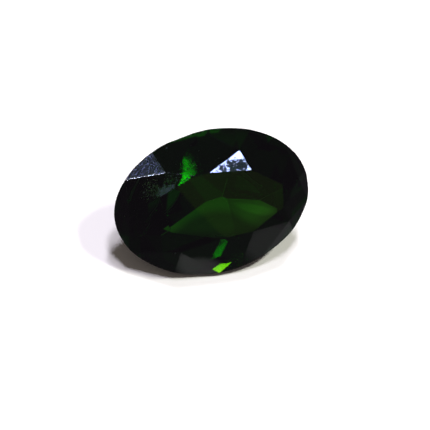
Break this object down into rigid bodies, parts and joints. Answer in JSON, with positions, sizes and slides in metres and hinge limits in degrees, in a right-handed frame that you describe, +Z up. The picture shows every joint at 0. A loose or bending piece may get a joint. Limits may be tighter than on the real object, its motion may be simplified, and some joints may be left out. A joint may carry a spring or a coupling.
{
  "type": "faceted chrome diopside",
  "caption": "Oval faceted chrome diopside, deep green and see-through, a hand-cut loose gemstone lying on one facet of its pavilion with its table leaning forward.",
  "frame": {"origin": "middle of the bounding box, on the floor that the stone lies on", "axes": "+Z up from the floor, +X along the oval's long side, -Y the side that the table leans towards"},
  "size_m": [0.0068, 0.0042, 0.0035],
  "materials": {
    "crystal": "polished"
  },
  "bodies": {
    "root": {"chrome_diopside": "crystal"}
  },
  "joints": []
}
